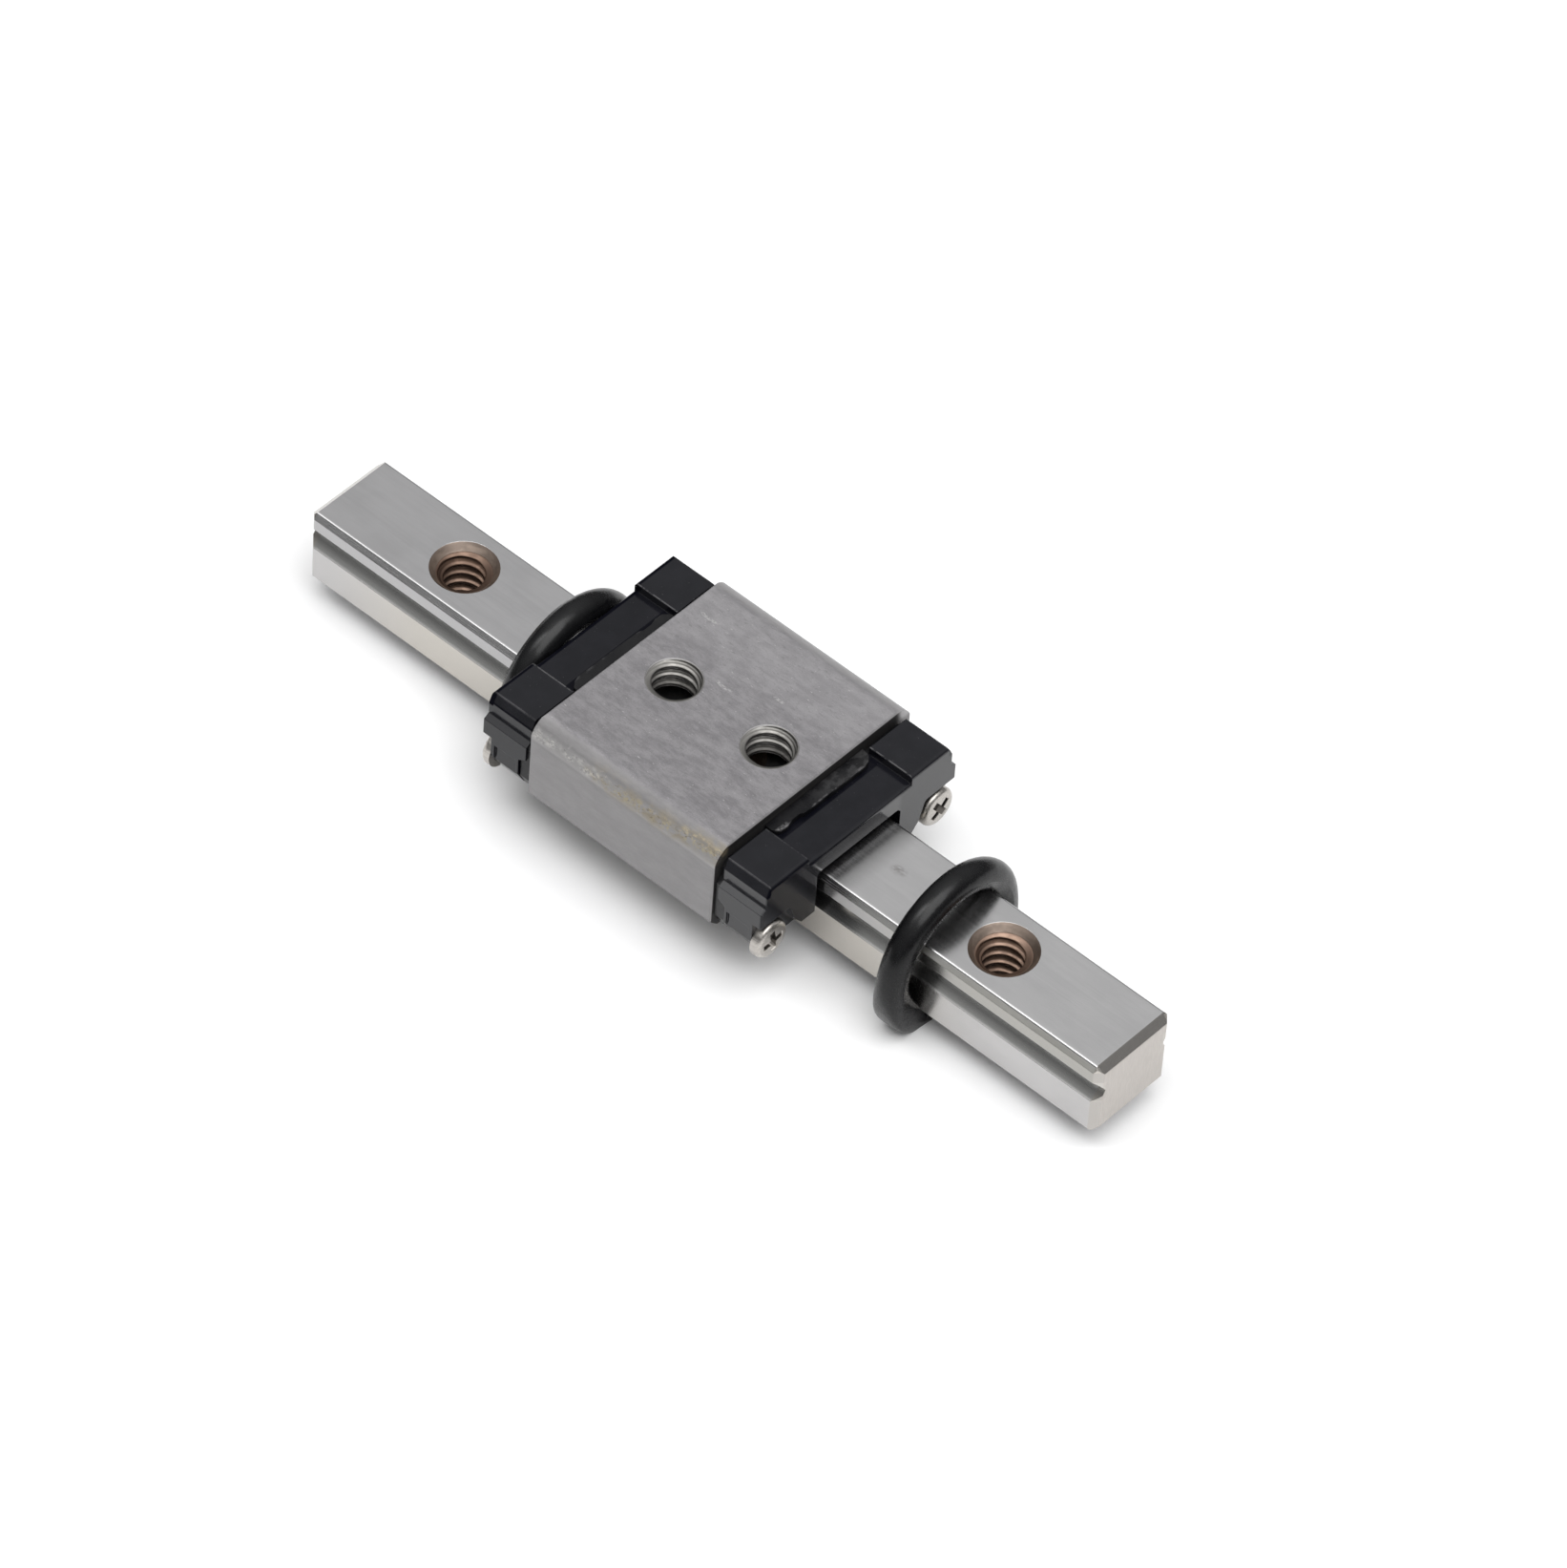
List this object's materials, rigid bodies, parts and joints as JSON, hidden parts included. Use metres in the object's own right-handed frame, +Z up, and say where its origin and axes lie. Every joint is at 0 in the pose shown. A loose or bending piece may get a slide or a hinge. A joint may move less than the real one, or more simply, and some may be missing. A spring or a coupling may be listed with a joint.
{
  "type": "miniature linear guide rail",
  "caption": "Miniature linear guide: ground steel rail with tapped holes, a recirculating-ball carriage that slides along it with black end caps, and rubber stop rings.",
  "frame": {"origin": "on the rail's base plane, on the axis of the middle rail hole, midway between the outer rail holes", "axes": "+X along the rail towards its front end, +Z up out of the rail's base"},
  "size_m": [0.0294, 0.008, 0.0048],
  "materials": {
    "rail_steel": "fine ground",
    "block_steel": "ground, slightly dull",
    "black_plastic": "moulded, satin",
    "plate_plastic": "moulded, satin",
    "screw_steel": "bright plated",
    "ball_steel": "polished",
    "black_rubber": "smooth, semi-matt"
  },
  "bodies": {
    "rail": {"guide_rail": "rail_steel", "front_stop_ring": "black_rubber", "rear_stop_ring": "black_rubber"},
    "carriage": {"carriage_block": "block_steel", "front_end_cap": "black_plastic", "rear_end_cap": "black_plastic", "front_return_plate": "plate_plastic", "rear_return_plate": "plate_plastic", "front_cap_screws": "screw_steel", "rear_cap_screws": "screw_steel", "left_balls": "ball_steel", "right_balls": "ball_steel"}
  },
  "joints": [
    {"name": "carriage_slide", "type": "slide", "parent": "rail", "child": "carriage", "axis": [1, 0, 0], "range_m": [0, 0.00284]}
  ]
}
